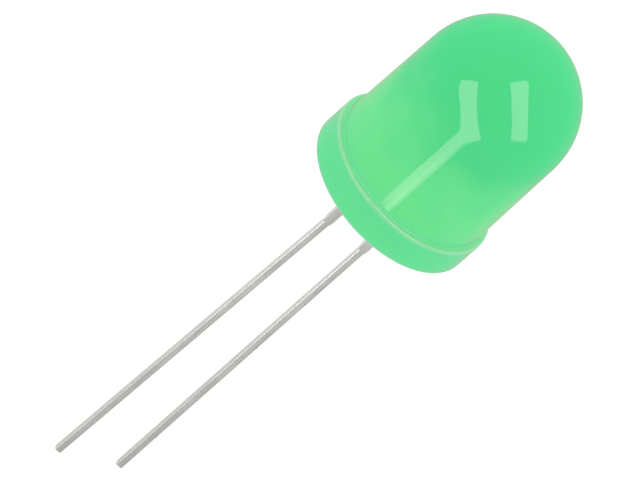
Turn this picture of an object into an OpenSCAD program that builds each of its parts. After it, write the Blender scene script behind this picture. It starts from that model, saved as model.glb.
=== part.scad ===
// Through-hole indicator lamp, 10 mm size: a diffused dome lens cast around a stamped leadframe.
// Dome up +Z. The origin is on the lens axis, in the flat face that the board carries.
// The leads hang down -Z on the X axis, the longer anode at +X and the shorter cathode at -X.
// All sizes are in millimetres and all angles in degrees.

/* [Lens] */
// Diameter of the lens wall where it leaves the flange
body_d = 10; // [8:0.1:12]
// Taper of the lens wall on each side, which lets it leave its mould
body_draft = 0.95; // [0.2:0.05:2]
// Height of the top of the dome above the base
overall_h = 13.6; // [11.5:0.1:16]

/* [Flange] */
// How far the flange stands out from the lens wall
flange_lip = 0.35; // [0.3:0.05:1]
// Thickness of the flange
flange_h = 2; // [1.2:0.05:3]
// Radius on the flange's upper edge
flange_edge_r = 0.12; // [0.04:0.01:0.15]
// Radius in the corner between the flange's top and the lens wall
flange_fillet_r = 0.1; // [0.05:0.01:0.12]
// Radius on the flange's lower edge
base_edge_r = 0.08; // [0.04:0.01:0.3]
// Height of the resin that creeps down each lead below the base
creep_h = 0.3; // [0.1:0.05:0.6]
// Thickness of that creep at its lower edge, beyond the lead's corners
creep_edge = 0.08; // [0.04:0.01:0.15]
// How much wider the creep is on each side where it meets the base
creep_reach = 0.2; // [0.1:0.05:0.35]

/* [Leads] */
// Distance between the two leads where they leave the base
lead_pitch = 2.54; // [2.4:0.02:2.9]
// Thickness of the sheet that the leadframe is stamped from
sheet_t = 0.48; // [0.38:0.01:0.6]
// Width of a lead below its shoulder
lead_w = 0.44; // [0.38:0.01:0.6]
// Radius on the long edges of a lead
lead_edge_r = 0.1; // [0.04:0.01:0.15]
// How far the shoulder stands out on each side of a lead
shoulder_step = 0.03; // [0.02:0.005:0.15]
// Length of the shoulder below the base
shoulder_len = 3.85; // [1:0.05:6]
// Length of the slope from the shoulder to the lead
shoulder_slope = 0.3; // [0.1:0.05:1]
// Reach of the cathode lead below the base
cathode_len = 26; // [12:0.1:40]
// How much further the anode lead reaches
anode_extra = 1.85; // [0.5:0.05:4]
// Outward lean of the anode lead below its shoulder
anode_lean = 1.35; // [0:0.05:3]
// Outward lean of the cathode lead below its shoulder
cathode_lean = -0.1; // [-1:0.05:3]
// Bevel around a lead's cut tip
tip_bevel = 0.05; // [0.02:0.01:0.12]

/* [Reflector cup] */
// Height of the cup's rim above the base
cup_rim_z = 5.55; // [4.8:0.05:7]
// Outer diameter of the cup
cup_d = 1.24; // [1.1:0.02:1.5]
// Wall thickness at the cup's rim
cup_wall = 0.12; // [0.06:0.01:0.2]
// Diameter of the cup's floor
cup_floor_d = 0.62; // [0.56:0.02:0.8]
// Depth of the cup
cup_depth = 0.35; // [0.3:0.01:0.4]
// Height of the cup's straight outer wall
cup_h = 0.6; // [0.5:0.02:0.8]
// Height of the flare that joins the cup to the anvil
cup_flare_h = 0.35; // [0.2:0.05:0.6]

/* [Anvil and post] */
// Width of the anvil's neck under the cup
neck_w = 1; // [0.7:0.02:1.1]
// Height of the anvil's straight neck
neck_h = 0.6; // [0.4:0.05:1]
// Gap between the anvil and the post
frame_gap = 0.45; // [0.3:0.01:0.5]
// Height at which the leads widen into the anvil and the post
foot_z = 1.5; // [0.8:0.05:2]
// Height of the slope from a lead to its wide foot
foot_slope = 0.7; // [0.3:0.05:1]
// How far the gap's foot lies to the cathode's side of the lens axis
gap_offset = 0.05; // [0:0.01:0.15]
// Height of the slope on the anvil's outer corner
anvil_slope = 0.85; // [0.3:0.05:1.2]
// How far the post rises above the cup's rim
post_rise = 0.1; // [0:0.02:0.3]
// Bevel on the post's inner top corner
post_bevel = 0.25; // [0.1:0.01:0.3]

/* [Die and wire] */
// Side of the square light-emitting die
die_w = 0.3; // [0.2:0.01:0.34]
// Height of the die
die_h = 0.2; // [0.12:0.01:0.22]
// Thickness of the conductive glue under the die
glue_h = 0.03; // [0.02:0.005:0.05]
// Spread of that glue beyond the die's corners
glue_spread = 0.03; // [0.01:0.005:0.04]
// Thickness of the bond wire
wire_d = 0.03; // [0.02:0.002:0.04]
// Diameter of the bond at each end of the wire
bond_d = 0.1; // [0.08:0.005:0.12]
// Height of that bond
bond_h = 0.03; // [0.025:0.005:0.05]
// Rise of the wire's loop above the line between its ends
loop_h = 0.5; // [0.35:0.01:0.7]

/* [Hidden] */

// Faces on a full circle
curve_fn = 128;
wire_fn = 24;

// Lens: a cone frustum that ends in a half sphere as wide as its top
body_r = body_d / 2;
flange_r = body_r + flange_lip;
draft_rise = tan(body_draft);
dome_r = (body_r - draft_rise * (overall_h - flange_h)) / (1 - draft_rise);
dome_z = overall_h - dome_r;
// The fillet's circle touches the flange's top and dips a little into the tapered wall
fillet_dip = flange_fillet_r / 20;
fillet_mid = [body_r + flange_fillet_r - fillet_dip, flange_h + flange_fillet_r];

// Leads
lead_x = lead_pitch / 2;
shoulder_w = lead_w + 2 * shoulder_step;
shoulder_half = shoulder_w / 2;
anode_len = cathode_len + anode_extra;
// The rounded stretch of a lead starts inside its shoulder
lead_overlap = shoulder_slope;
creep_tip_r = norm([shoulder_w, sheet_t]) / 2 + creep_edge;
creep_base_r = creep_tip_r + creep_reach;

// Reflector cup and what stands in it
cup_r = cup_d / 2;
cup_base_z = cup_rim_z - cup_h;
cup_floor_z = cup_rim_z - cup_depth;
die_z = cup_floor_z + glue_h;
glue_r = norm([die_w, die_w]) / 2 + glue_spread;

// Anvil and post share a slanted gap, which starts at the foot and ends at the neck's corner
neck_half = neck_w / 2;
neck_corner_z = cup_base_z - neck_h;
foot_top_z = foot_z + foot_slope;
gap_half = frame_gap / 2;
post_x = neck_half + frame_gap;
post_top_z = cup_rim_z + post_rise;

// Bond wire: one arc from the middle of the bond on the die to the middle of the one on the post
wire_start = [0, die_z + die_h + bond_h / 2];
wire_end = [(post_x + post_bevel + lead_x + shoulder_half) / 2, post_top_z + bond_h / 2];
wire_chord = norm(wire_end - wire_start);
wire_tilt = atan2(wire_end.y - wire_start.y, wire_end.x - wire_start.x);
wire_arc_r = (pow(wire_chord / 2, 2) + pow(loop_h, 2)) / (2 * loop_h);
wire_drop = wire_arc_r - loop_h;
wire_half_angle = atan2(wire_chord / 2, wire_drop);
wire_mid = (wire_start + wire_end) / 2;

// Lens and flange in half section
module lens_profile() {
    flange_profile();
    fillet_profile();
    polygon([
        [0, 0],
        [body_r - base_edge_r, 0],
        [body_r - base_edge_r, flange_h],
        [body_r, flange_h],
        [dome_r, dome_z],
        [0, dome_z]
    ]);
    intersection() {
        translate([0, dome_z]) circle(dome_r);
        translate([0, dome_z]) square(dome_r);
    }
}

// Flange in half section, with its two outer edges rounded
module flange_profile() {
    square([flange_r - flange_edge_r, flange_h - flange_edge_r]);
    translate([0, base_edge_r]) square([flange_r, flange_h - flange_edge_r - base_edge_r]);
    square([flange_r - base_edge_r, base_edge_r]);
    square([flange_r - flange_edge_r, flange_h]);
    translate([flange_r - flange_edge_r, flange_h - flange_edge_r]) circle(flange_edge_r);
    translate([flange_r - base_edge_r, base_edge_r]) circle(base_edge_r);
}

// Fillet in half section, in the corner between the flange's top and the lens wall
module fillet_profile() {
    difference() {
        translate([body_r - base_edge_r, flange_h - flange_edge_r])
            square(fillet_mid - [body_r - base_edge_r, flange_h - flange_edge_r]);
        translate(fillet_mid) circle(flange_fillet_r);
    }
}

// Resin drawn out along a lead by surface tension while the casting set
module creep(x) {
    translate([x, 0, -creep_h]) cylinder(h = creep_h, r1 = creep_tip_r, r2 = creep_base_r);
}

// An outline in the X-Z plane, cut from the leadframe's sheet
module stamped() {
    rotate([90, 0, 0]) linear_extrude(sheet_t, center = true) children();
}

// Cross-section of a lead below its shoulder
module lead_section() {
    square([lead_w - 2 * lead_edge_r, sheet_t], center = true);
    square([lead_w, sheet_t - 2 * lead_edge_r], center = true);
    for (x = [-1, 1], y = [-1, 1])
        translate([x * (lead_w / 2 - lead_edge_r), y * (sheet_t / 2 - lead_edge_r)])
            circle(lead_edge_r);
}

// Outline of a lead's shoulder, from the base down
module shoulder_outline() {
    polygon([
        [-shoulder_half, 0],
        [-shoulder_half, -shoulder_len],
        [-lead_w / 2, -shoulder_len - shoulder_slope],
        [lead_w / 2, -shoulder_len - shoulder_slope],
        [shoulder_half, -shoulder_len],
        [shoulder_half, 0]
    ]);
}

// The rounded stretch of a lead, hanging from the origin, with its cut tip bevelled
module lead_wire(len) {
    difference() {
        translate([0, 0, -len]) linear_extrude(len) lead_section();
        for (side = [0, 1]) {
            tip_cuts(len, side == 0 ? lead_w : sheet_t, side * 90);
        }
    }
}

// Two bevels on opposite edges of the tip
module tip_cuts(len, width, turn) {
    cut = lead_w + sheet_t;
    for (flip = [0, 180])
        rotate([0, 0, turn + flip])
            translate([width / 2 - tip_bevel, 0, -len])
                rotate([0, 45, 0])
                    translate([0, -cut / 2, -cut])
                        cube([cut, cut, cut]);
}

// Everything of a lead that shows below the base. side is 1 for the anode and -1 for the cathode.
module outer_lead(side, reach, lean) {
    translate([side * lead_x, 0, 0]) {
        stamped() shoulder_outline();
        translate([0, 0, -shoulder_len])
            rotate([0, -side * lean, 0])
                translate([0, 0, lead_overlap])
                    lead_wire(reach - shoulder_len + lead_overlap);
    }
}

// The wide plate inside the lens that carries the cup
module anvil_outline() {
    polygon([
        [-lead_x - shoulder_half, 0],
        [-lead_x - shoulder_half, cup_base_z - anvil_slope],
        [-neck_half, cup_base_z],
        [neck_half, cup_base_z],
        [neck_half, neck_corner_z],
        [-gap_offset - gap_half, foot_top_z],
        [-lead_x + shoulder_half, foot_z],
        [-lead_x + shoulder_half, 0]
    ]);
}

// The plate inside the lens that the bond wire lands on
module post_outline() {
    polygon([
        [lead_x + shoulder_half, 0],
        [lead_x + shoulder_half, post_top_z],
        [post_x + post_bevel, post_top_z],
        [post_x, post_top_z - post_bevel],
        [post_x, neck_corner_z],
        [gap_half - gap_offset, foot_top_z],
        [lead_x - shoulder_half, foot_z],
        [lead_x - shoulder_half, 0]
    ]);
}

// The cup coined into the anvil's top, which throws the die's side light forward
module reflector_cup() {
    difference() {
        union() {
            translate([0, 0, cup_base_z]) cylinder(h = cup_h, r = cup_r);
            translate([0, 0, cup_base_z - cup_flare_h])
                cylinder(h = cup_flare_h, r1 = sheet_t / 2, r2 = cup_r);
        }
        translate([0, 0, cup_floor_z])
            cylinder(h = cup_depth, d1 = cup_floor_d, r2 = cup_r - cup_wall);
    }
}

module cathode_shape() {
    stamped() anvil_outline();
    reflector_cup();
    outer_lead(-1, cathode_len, cathode_lean);
}

module anode_shape() {
    stamped() post_outline();
    outer_lead(1, anode_len, anode_lean);
}

module die_shape() {
    translate([-die_w / 2, -die_w / 2, die_z]) cube([die_w, die_w, die_h]);
}

module glue_shape() {
    translate([0, 0, cup_floor_z]) cylinder(h = glue_h, r = glue_r);
}

module bond_shape(x, z) {
    translate([x, 0, z]) cylinder(h = bond_h, d = bond_d);
}

module wire_shape() {
    bond_shape(wire_start.x, die_z + die_h);
    bond_shape(wire_end.x, post_top_z);
    translate([wire_mid.x, 0, wire_mid.y])
        rotate([90, -wire_tilt, 0])
            translate([0, -wire_drop, 0])
                rotate([0, 0, 90 - wire_half_angle])
                    rotate_extrude(angle = 2 * wire_half_angle, $fn = wire_fn)
                        translate([wire_arc_r, 0])
                            circle(d = wire_d);
}

module epoxy_body() {
    color([0.39, 0.87, 0.57]) difference() {
        union() {
            rotate_extrude($fn = curve_fn) lens_profile($fn = curve_fn);
            creep(lead_x, $fn = curve_fn);
            creep(-lead_x, $fn = curve_fn);
        }
        cathode_shape($fn = curve_fn);
        anode_shape($fn = curve_fn);
        die_shape();
        glue_shape($fn = curve_fn);
        wire_shape($fn = wire_fn);
    }
}

module cathode_lead() {
    color([0.76, 0.77, 0.75]) cathode_shape($fn = curve_fn);
}

module anode_lead() {
    color([0.76, 0.77, 0.75]) anode_shape($fn = curve_fn);
}

module led_die() {
    color([0.85, 0.7, 0.25]) die_shape();
}

module die_glue() {
    color([0.6, 0.6, 0.6]) glue_shape($fn = curve_fn);
}

module bond_wire() {
    color([0.95, 0.76, 0.3]) wire_shape($fn = wire_fn);
}

epoxy_body();
cathode_lead();
anode_lead();
led_die();
die_glue();
bond_wire();
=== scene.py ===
"""Looks of a 10 mm diffused green through-hole LED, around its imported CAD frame.

Metres, in the CAD frame: the lens axis is +Z, the origin is in the base, the leads hang down -Z.
The materials work in millimetres.
"""
import math

import bpy
from mathutils import Matrix, Vector


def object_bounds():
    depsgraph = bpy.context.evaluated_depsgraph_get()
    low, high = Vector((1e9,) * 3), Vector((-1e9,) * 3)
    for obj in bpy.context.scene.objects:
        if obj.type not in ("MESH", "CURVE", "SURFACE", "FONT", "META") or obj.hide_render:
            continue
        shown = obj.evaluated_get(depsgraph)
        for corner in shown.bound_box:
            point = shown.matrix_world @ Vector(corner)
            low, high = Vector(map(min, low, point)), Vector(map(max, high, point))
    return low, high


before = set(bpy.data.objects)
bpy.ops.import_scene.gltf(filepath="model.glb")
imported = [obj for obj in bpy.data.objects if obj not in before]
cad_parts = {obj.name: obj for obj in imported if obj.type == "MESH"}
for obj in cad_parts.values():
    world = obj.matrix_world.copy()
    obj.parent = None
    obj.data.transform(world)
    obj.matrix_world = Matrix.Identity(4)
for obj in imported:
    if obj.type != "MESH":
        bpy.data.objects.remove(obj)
CAD_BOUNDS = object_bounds()

MM = 0.001

# Camera: its direction round the part, how far the lens axis leans clockwise in the picture,
# and where the middle of the picture lies from the origin
CAMERA_AZIMUTH = 164.0
CAMERA_ELEVATION = 33.27
CAMERA_ROLL = 48.23
CAMERA_DISTANCE = 500 * MM
CAMERA_LENS = 512.5
SENSOR_WIDTH = 36.0
CLIP_NEAR = 10 * MM
CLIP_FAR = 10.0
AIM_RIGHT = -3.968 * MM
AIM_UP = -2.588 * MM

# White surroundings, and a floor that shows as white as they do
WORLD_STRENGTH = 1.0
FLOOR_DROP = 200 * MM
FLOOR_SIZE = 4.0
FLOOR_SHADE = 0.85
FLOOR_GLOW = 0.18

# Softboxes: all at one distance from the part. The pink ones tone down the green of their
# reflections in the resin, and the white ones draw the bright line along each lead.
BOX_DISTANCE = 300 * MM
BOX_RADIANCE = 3.0
BOX_COLOUR = (1.0, 0.72, 0.86)
LEAD_BOX_RADIANCE = 8.8
LEAD_SIDE_BOX_RADIANCE = 4.0
WHITE = (1, 1, 1)

# Places on the part in millimetres, from the CAD
FLANGE_TOP = 2.0
WALL_RADIUS = 5.0
DIE_TOP = 5.43
DIE_BOND_TOP = 5.46
POST_BOND_EDGE = 1.31
POST_BOND_TOP = 5.68

# Where the colour or finish changes on the part, in millimetres
# Painted shade greys the flange below this height, at its lower rim
RIM_SHADE_HEIGHT = 0.4
WALL_GREEN_ENDS = 3.5
DOME_GREEN_STARTS = 9.5
DOME_BORDER_WANDER = 6.0
TIN_DULLS_FROM = -5.0
TIN_DULLS_TO = -22.0
PAD_RADIUS = 0.07


def srgb(red, green, blue):
    """A linear colour from 0 to 255 display values."""
    linear = []
    for value in (red, green, blue):
        v = value / 255
        linear.append(v / 12.92 if v <= 0.04045 else ((v + 0.055) / 1.055) ** 2.4)
    return (*linear, 1.0)


class Nodes:
    """A material's, light's or world's node tree, with short calls to add and join nodes."""

    def __init__(self, owner):
        owner.use_nodes = True
        self.tree = owner.node_tree
        self.tree.nodes.clear()

    def add(self, kind, inputs=None, **settings):
        node = self.tree.nodes.new(kind)
        for name, value in settings.items():
            setattr(node, name, value)
        for name, value in (inputs or {}).items():
            self.put(node.inputs[name], value)
        return node

    def put(self, socket, value):
        if isinstance(value, bpy.types.NodeSocket):
            self.tree.links.new(value, socket)
        else:
            socket.default_value = value

    def math(self, operation, *values):
        node = self.add("ShaderNodeMath", operation=operation)
        for socket, value in zip(node.inputs, values):
            self.put(socket, value)
        return node.outputs[0]

    def place(self):
        """The point on the part in millimetres, as a vector."""
        coords = self.add("ShaderNodeTexCoord")
        scaled = self.add("ShaderNodeVectorMath", {0: coords.outputs["Object"]}, operation="SCALE")
        self.put(scaled.inputs["Scale"], 1 / MM)
        return scaled.outputs[0]

    def split(self, vector):
        parts = self.add("ShaderNodeSeparateXYZ", {0: vector})
        return parts.outputs[0], parts.outputs[1], parts.outputs[2]

    def from_axis(self, x, y):
        """The distance from the lens axis."""
        squares = self.math("MULTIPLY", x, x), self.math("MULTIPLY", y, y)
        return self.math("SQRT", self.math("ADD", *squares))

    def stretch(self, vector, factors):
        node = self.add("ShaderNodeVectorMath", {0: vector, 1: factors}, operation="MULTIPLY")
        return node.outputs[0]

    def noise(self, vector, scale, detail=3.0, roughness=0.5):
        node = self.add("ShaderNodeTexNoise", {
            "Vector": vector, "Scale": scale, "Detail": detail, "Roughness": roughness,
        })
        return node.outputs["Fac"]

    def span(self, value, start, end, low=0.0, high=1.0):
        """The value's way from start to end, eased, as a number from low to high."""
        node = self.add("ShaderNodeMapRange", {
            "Value": value, "From Min": start, "From Max": end, "To Min": low, "To Max": high,
        }, interpolation_type="SMOOTHSTEP")
        return node.outputs[0]

    def mix(self, factor, first, second):
        node = self.add("ShaderNodeMix", data_type="RGBA")
        self.put(node.inputs["Factor"], factor)
        for socket, value in zip((s for s in node.inputs if s.type == "RGBA"), (first, second)):
            self.put(socket, value)
        return next(s for s in node.outputs if s.type == "RGBA")

    def bump(self, height, strength, distance):
        node = self.add("ShaderNodeBump", {
            "Height": height, "Strength": strength, "Distance": distance,
        })
        return node.outputs[0]

    def finish(self, shader, output="ShaderNodeOutputMaterial"):
        out = self.add(output)
        self.put(out.inputs["Surface"], shader.outputs[0])


def camera_axes():
    """The camera's right, up and backward directions in the CAD frame."""
    azimuth, elevation, roll = map(math.radians, (CAMERA_AZIMUTH, CAMERA_ELEVATION, CAMERA_ROLL))
    back = Vector((
        math.sin(azimuth) * math.cos(elevation),
        -math.cos(azimuth) * math.cos(elevation),
        math.sin(elevation),
    ))
    level = Vector((0, 0, 1)).cross(back).normalized()
    upright = back.cross(level)
    right = math.cos(roll) * level + math.sin(roll) * upright
    up = math.cos(roll) * upright - math.sin(roll) * level
    return right, up, back


def make_camera():
    right, up, back = camera_axes()
    data = bpy.data.cameras.new("camera")
    data.lens = CAMERA_LENS
    data.sensor_width = SENSOR_WIDTH
    data.clip_start = CLIP_NEAR
    data.clip_end = CLIP_FAR
    camera = bpy.data.objects.new("camera", data)
    place = AIM_RIGHT * right + AIM_UP * up + CAMERA_DISTANCE * back
    turn = Matrix((right, up, back)).transposed().to_4x4()
    camera.matrix_world = Matrix.Translation(place) @ turn
    bpy.context.scene.collection.objects.link(camera)
    bpy.context.scene.camera = camera


def hang_flags(data, flags):
    """Hide the parts of a softbox that lie behind its flags.

    u and v run from -0.5 to 0.5 across and up the box. Each flag hides the part that lies past
    all of the flag's edges, where a u + b v + c v^2 is more than d.
    """
    n = Nodes(data)
    across_box, up_box, _ = n.split(n.add("ShaderNodeNewGeometry").outputs["Parametric"])
    u, v = n.math("SUBTRACT", across_box, 0.5), n.math("SUBTRACT", up_box, 0.5)
    open_part = 1.0
    for edges in flags:
        hidden = 1.0
        for a, b, c, d in edges:
            bent = n.math("MULTIPLY", n.math("MULTIPLY_ADD", v, c, b), v)
            past = n.math("GREATER_THAN", n.math("MULTIPLY_ADD", u, a, bent), d)
            hidden = n.math("MULTIPLY", hidden, past)
        open_part = n.math("MULTIPLY", open_part, n.math("SUBTRACT", 1.0, hidden))
    n.finish(n.add("ShaderNodeEmission", {"Strength": open_part}), "ShaderNodeOutputLight")


def soft_box(
    name, across, above, turn, width, height,
    flags=(), slide=(0.0, 0.0), radiance=BOX_RADIANCE, colour=BOX_COLOUR,
):
    """A softbox that faces the part, from those angles right of and above the camera.

    It is seen in the part's gloss, while the white surroundings give the even, shadowless light.
    Its width, its height and its slide in its own plane are in parts of its distance.
    """
    right, up, back = camera_axes()
    side, lift = math.radians(across), math.radians(above)
    toward = (
        (math.sin(side) * math.cos(lift)) * right
        + math.sin(lift) * up
        + (math.cos(side) * math.cos(lift)) * back
    )
    data = bpy.data.lights.new(name, "AREA")
    data.shape = "RECTANGLE"
    data.size = width * BOX_DISTANCE
    data.size_y = height * BOX_DISTANCE
    data.energy = radiance * math.pi * data.size * data.size_y
    data.color = colour
    if flags:
        hang_flags(data, flags)
    light = bpy.data.objects.new(name, data)
    x_axis = up.cross(toward).normalized()
    y_axis = toward.cross(x_axis)
    axes = Matrix((x_axis, y_axis, toward)).transposed().to_4x4()
    light.matrix_world = (
        Matrix.Translation(BOX_DISTANCE * toward)
        @ axes
        @ Matrix.Rotation(math.radians(turn), 4, "Z")
        @ Matrix.Translation((slide[0] * BOX_DISTANCE, slide[1] * BOX_DISTANCE, 0))
    )
    light.visible_camera = False
    light.visible_diffuse = False
    bpy.context.scene.collection.objects.link(light)


def shown_directly(n):
    """1 for rays that show the surroundings as they are, and 0 for rays that light a surface."""
    path = n.add("ShaderNodeLightPath")
    seen = n.math("MAXIMUM", path.outputs["Is Camera Ray"], path.outputs["Is Glossy Ray"])
    return n.math("MAXIMUM", seen, path.outputs["Is Transmission Ray"])


def make_world():
    world = bpy.data.worlds.new("world")
    bpy.context.scene.world = world
    n = Nodes(world)
    background = n.add("ShaderNodeBackground", {"Color": (*WHITE, 1), "Strength": WORLD_STRENGTH})
    n.finish(background, "ShaderNodeOutputWorld")


def make_floor():
    """A pale floor, well below the part and clear from underneath."""
    lowest = CAD_BOUNDS[0].z - FLOOR_DROP
    half = FLOOR_SIZE / 2
    plan = (-half, -half), (half, -half), (half, half), (-half, half)
    mesh = bpy.data.meshes.new("floor")
    mesh.from_pydata([(x, y, lowest) for x, y in plan], [], [(0, 1, 2, 3)])
    floor = bpy.data.objects.new("floor", mesh)
    bpy.context.scene.collection.objects.link(floor)
    material = bpy.data.materials.new("pale_floor")
    n = Nodes(material)
    diffuse = n.add("ShaderNodeBsdfDiffuse", {"Color": (FLOOR_SHADE, FLOOR_SHADE, FLOOR_SHADE, 1)})
    glow = n.add("ShaderNodeEmission", {
        "Color": (*WHITE, 1), "Strength": n.math("MULTIPLY", shown_directly(n), FLOOR_GLOW),
    })
    both = n.add("ShaderNodeAddShader", {0: diffuse.outputs[0], 1: glow.outputs[0]})
    clear = n.add("ShaderNodeBsdfTransparent")
    side = n.add("ShaderNodeNewGeometry").outputs["Backfacing"]
    n.finish(n.add("ShaderNodeMixShader", {0: side, 1: both.outputs[0], 2: clear.outputs[0]}))
    mesh.materials.append(material)


def set_material(node, material):
    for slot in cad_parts[node].material_slots:
        slot.material = material


def green_epoxy():
    """Milky green resin: a cooler dome, a yellower wall, and a flange with painted shade on its
    lower rim.

    The top of the flange is rougher, and painted pale as a highlight. The gloss is the coat, and
    the sheen greys the green at the outline.
    """
    material = bpy.data.materials.new("green_epoxy")
    n = Nodes(material)
    place = n.place()
    x, y, z = n.split(place)
    radius = n.from_axis(x, y)

    # The wall's colour turns into the dome's at a height that wanders at random
    wander = n.math("SUBTRACT", n.noise(place, 0.35, detail=1.0), 0.5)
    height = n.math("ADD", z, n.math("MULTIPLY", wander, DOME_BORDER_WANDER))
    to_dome = n.span(height, WALL_GREEN_ENDS, DOME_GREEN_STARTS)
    wall = n.mix(to_dome, srgb(100, 232, 143), srgb(59, 219, 135))

    # The flange, with painted shade that greys and darkens it towards its lower rim
    low = n.span(z, RIM_SHADE_HEIGHT, 0.0)
    rim = n.math("MULTIPLY", low, n.span(radius, WALL_RADIUS, WALL_RADIUS + 0.25))
    flange = n.mix(rim, srgb(89, 225, 147), srgb(106, 206, 145))
    body = n.mix(n.span(z, FLANGE_TOP - 0.1, FLANGE_TOP + 0.5), flange, wall)

    # Painted light: the fillet where the wall meets the flange is made lighter, against the shade
    # that falls there
    fillet_light_mask = n.span(z, FLANGE_TOP + 0.45, FLANGE_TOP + 0.1)
    fillet_painted_light = n.mix(fillet_light_mask, body, srgb(111, 234, 163))
    below = n.mix(n.span(z, FLANGE_TOP - 0.05, FLANGE_TOP), body, fillet_painted_light)

    # Painted highlight: the top of the flange is painted pale, palest towards its outer edge and
    # flecked by its grain; it is also rougher
    low_side = n.span(z, FLANGE_TOP - 0.3, FLANGE_TOP)
    high_side = n.span(z, FLANGE_TOP + 0.09, FLANGE_TOP + 0.01)
    step = n.math("MULTIPLY", low_side, high_side)
    grain = n.noise(place, 14.0, detail=4.0)
    fleck = n.span(grain, 0.35, 0.7, 0.8, 1.0)
    inward = n.span(radius, WALL_RADIUS + 0.24, WALL_RADIUS + 0.08)
    step_highlight = n.mix(inward, srgb(148, 219, 164), srgb(129, 233, 169))
    colour = n.mix(n.math("MULTIPLY", step, fleck), below, step_highlight)

    ripple = n.noise(place, 1.1, detail=2.0)
    relief = n.math("ADD", ripple, n.math("MULTIPLY", grain, 0.04))
    polish = n.span(grain, 0.3, 0.75, 0.05, 0.09)
    shader = n.add("ShaderNodeBsdfPrincipled", {
        "Base Color": colour,
        "Roughness": n.math("ADD", polish, n.math("MULTIPLY", step, 0.35)),
        "IOR": 1.5,
        "Specular IOR Level": 0.0,
        "Coat Weight": 0.185,
        "Coat IOR": 3.0,
        "Coat Roughness": 0.06,
        "Sheen Weight": 0.42,
        "Sheen Roughness": 0.3,
        "Sheen Tint": (1.0, 0.0, 0.35, 1.0),
        "Subsurface Weight": 0.6,
        "Subsurface Radius": (0.5, 1.0, 0.6),
        "Subsurface Scale": 1.5 * MM,
        "Normal": n.bump(relief, 0.12, 0.06 * MM),
    })
    n.finish(shader)
    return material


def tinned_steel():
    """Tin dip on stamped steel: fine draw lines along the lead, soft blotches, duller to the tip.

    The sides that face along X are painted lighter than the flat faces, as a painted reflection.
    """
    material = bpy.data.materials.new("tinned_steel")
    n = Nodes(material)
    place = n.place()
    _, _, z = n.split(place)
    facing, _, _ = n.split(n.add("ShaderNodeTexCoord").outputs["Normal"])
    lines = n.noise(n.stretch(place, (1, 1, 0.02)), 9.0, detail=3.0, roughness=0.6)
    blotch = n.noise(n.stretch(place, (1, 1, 0.35)), 1.6, detail=2.0)
    pits = n.span(n.noise(n.stretch(place, (1, 1, 0.5)), 4.0, detail=2.0), 0.68, 0.74)
    dull = n.span(z, TIN_DULLS_FROM, TIN_DULLS_TO)
    tone = n.math("ADD", n.math("MULTIPLY", lines, 0.5), n.math("MULTIPLY", blotch, 0.5))
    bright = n.mix(n.span(tone, 0.3, 0.7), srgb(162, 165, 158), srgb(178, 181, 175))
    grey = n.mix(n.span(tone, 0.3, 0.7), srgb(145, 149, 143), srgb(161, 165, 159))
    faces = n.mix(dull, bright, grey)
    # Painted reflection: the sides that face along X get a lighter colour
    side_reflection_tone = n.mix(dull, srgb(200, 204, 199), srgb(195, 198, 191))
    side_reflection_mask = n.span(n.math("ABSOLUTE", facing), 0.1, 0.8)
    colour = n.mix(pits, n.mix(side_reflection_mask, faces, side_reflection_tone), srgb(140, 143, 137))
    roughness = n.math("ADD", n.span(tone, 0.3, 0.7, 0.27, 0.34), n.math("MULTIPLY", dull, 0.2))
    relief = n.math("SUBTRACT", n.math("MULTIPLY", lines, 0.15), n.math("MULTIPLY", pits, 0.3))
    shader = n.add("ShaderNodeBsdfPrincipled", {
        "Base Color": colour,
        "Metallic": 1.0,
        "Roughness": roughness,
        "Normal": n.bump(relief, 0.25, 0.01 * MM),
    })
    n.finish(shader)
    return material


def semiconductor():
    """Die: an amber crystal with sawn, frosted sides and a bright pad on its top."""
    material = bpy.data.materials.new("semiconductor")
    n = Nodes(material)
    place = n.place()
    x, y, z = n.split(place)
    in_pad = n.span(n.from_axis(x, y), PAD_RADIUS + 0.005, PAD_RADIUS - 0.005)
    pad = n.math("MULTIPLY", in_pad, n.span(z, DIE_TOP - 0.005, DIE_TOP - 0.001))
    saw = n.noise(n.stretch(place, (1, 1, 9)), 20.0, detail=3.0)
    crystal = n.mix(n.span(saw, 0.3, 0.7), srgb(176, 132, 48), srgb(214, 172, 86))
    shader = n.add("ShaderNodeBsdfPrincipled", {
        "Base Color": n.mix(pad, crystal, srgb(240, 200, 120)),
        "Metallic": pad,
        "Roughness": n.span(saw, 0.3, 0.7, 0.18, 0.4),
        "Normal": n.bump(saw, 0.3, 0.004 * MM),
    })
    n.finish(shader)
    return material


def silver_epoxy():
    """Die glue: grey resin full of small silver flakes."""
    material = bpy.data.materials.new("silver_epoxy")
    n = Nodes(material)
    flakes = n.add("ShaderNodeTexVoronoi", {"Vector": n.place(), "Scale": 45.0})
    tone, _, _ = n.split(flakes.outputs["Color"])
    shader = n.add("ShaderNodeBsdfPrincipled", {
        "Base Color": n.mix(tone, srgb(128, 128, 130), srgb(206, 206, 208)),
        "Metallic": n.span(tone, 0.3, 0.8, 0.2, 0.9),
        "Roughness": n.span(tone, 0.0, 1.0, 0.55, 0.35),
        "Normal": n.bump(tone, 0.4, 0.004 * MM),
    })
    n.finish(shader)
    return material


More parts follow.
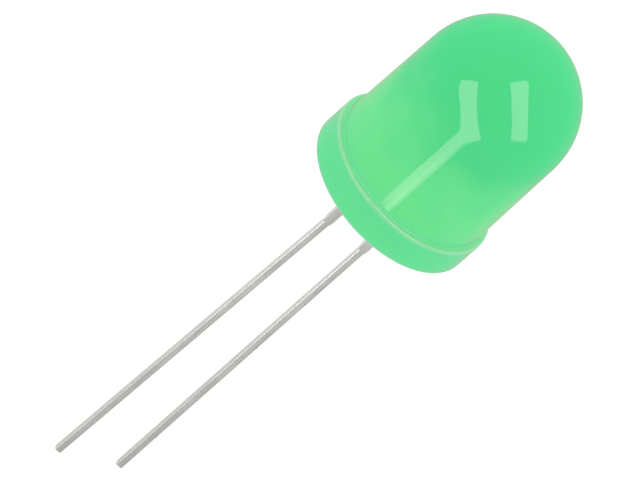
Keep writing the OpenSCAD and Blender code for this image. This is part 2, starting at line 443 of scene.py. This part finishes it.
def gold_wire():
    """Bond wire: drawn gold, faintly mottled, with a matte bloom on its two bonds."""
    material = bpy.data.materials.new("gold_wire")
    n = Nodes(material)
    place = n.place()
    x, _, z = n.split(place)
    bloom = n.noise(place, 30.0, detail=3.0)
    die_bond = n.span(z, DIE_BOND_TOP + 0.01, DIE_BOND_TOP - 0.01)
    on_post = n.span(x, POST_BOND_EDGE - 0.06, POST_BOND_EDGE - 0.01)
    post_bond = n.math("MULTIPLY", on_post, n.span(z, POST_BOND_TOP + 0.04, POST_BOND_TOP + 0.01))
    bond = n.math("MAXIMUM", die_bond, post_bond)
    polish = n.span(bloom, 0.3, 0.7, 0.12, 0.22)
    shader = n.add("ShaderNodeBsdfPrincipled", {
        "Base Color": n.mix(n.span(bloom, 0.3, 0.7), srgb(236, 186, 92), srgb(250, 212, 132)),
        "Metallic": 1.0,
        "Roughness": n.math("ADD", polish, n.math("MULTIPLY", bond, 0.2)),
        "Normal": n.bump(bloom, 0.2, 0.002 * MM),
    })
    n.finish(shader)
    return material


make_camera()
make_world()
make_floor()

# The two reflections on the dome, and the long one down the wall
soft_box(
    "left_box", across=-34.0, above=-10.3, turn=-2.7, width=0.48, height=1.556,
    flags=[[(-1, 0, -2.22, 0.3)]],
)
soft_box(
    "right_box", across=37.6, above=-10.2, turn=4.4, width=0.495, height=1.456,
    flags=[[(1, 0, -1.36, 0.269)], [(-1, -0.3, 0, 0.484)]],
)
soft_box(
    "low_box", across=-46.9, above=-39.9, turn=-66.7, width=0.262, height=0.19,
    flags=[[(0.648, 1, 0, -0.27), (-2.137, 1, 0, -1.258)]],
)

# The bright line along each lead
soft_box(
    "lead_box", across=-46.9, above=-39.9, turn=-62.2, width=0.4, height=0.08,
    slide=(-0.075, -0.222), radiance=LEAD_BOX_RADIANCE, colour=WHITE,
)
soft_box(
    "lead_side_box", across=-74.1, above=-14.2, turn=-58.5, width=0.4, height=0.05,
    slide=(0, -0.005), radiance=LEAD_SIDE_BOX_RADIANCE, colour=WHITE,
)
bpy.context.scene.view_settings.view_transform = "Standard"

set_material("epoxy_body", green_epoxy())
steel = tinned_steel()
set_material("anode_lead", steel)
set_material("cathode_lead", steel)
set_material("led_die", semiconductor())
set_material("die_glue", silver_epoxy())
set_material("bond_wire", gold_wire())
